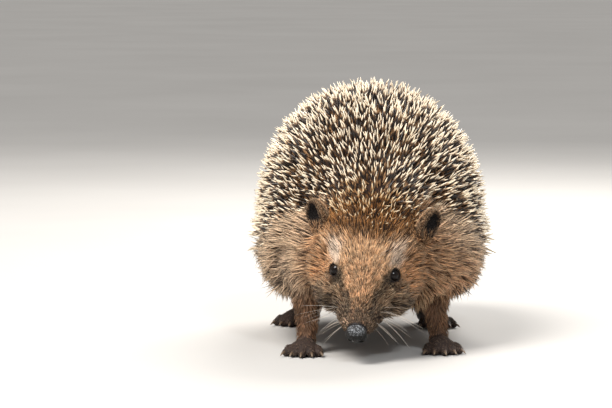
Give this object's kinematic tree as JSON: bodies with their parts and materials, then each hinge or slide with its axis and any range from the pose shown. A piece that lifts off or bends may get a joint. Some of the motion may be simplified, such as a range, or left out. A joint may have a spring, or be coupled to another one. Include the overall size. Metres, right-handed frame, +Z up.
{
  "type": "european hedgehog",
  "caption": "Life-size hedgehog standing with its nose lowered towards the ground, domed back of banded spines, brown furred face and flanks.",
  "frame": {"origin": "centre of the whole animal's outline on the floor it stands on", "axes": "+Z up, the animal faces -Y, its left side towards +X"},
  "size_m": [0.1322, 0.2251, 0.1367],
  "materials": {
    "spines": "satin",
    "face_fur": "matte",
    "ruff_fur": "matte",
    "leg_fur": "matte",
    "foot_skin": "matte",
    "ear_skin": "matte",
    "nose_skin": "wet gloss",
    "eye": "gloss"
  },
  "bodies": {
    "root": {"head": "face_fur", "lower_jaw": "face_fur", "nose": "nose_skin", "eye_left": "eye", "eye_right": "eye", "ear_left": "ear_skin", "ear_right": "ear_skin", "neck": "ruff_fur", "trunk": "spines", "tail": "foot_skin", "foreleg_left": "leg_fur", "foreleg_right": "leg_fur", "hindleg_left": "leg_fur", "hindleg_right": "leg_fur", "forefoot_left": "foot_skin", "forefoot_right": "foot_skin", "hindfoot_left": "foot_skin", "hindfoot_right": "foot_skin"}
  },
  "joints": []
}
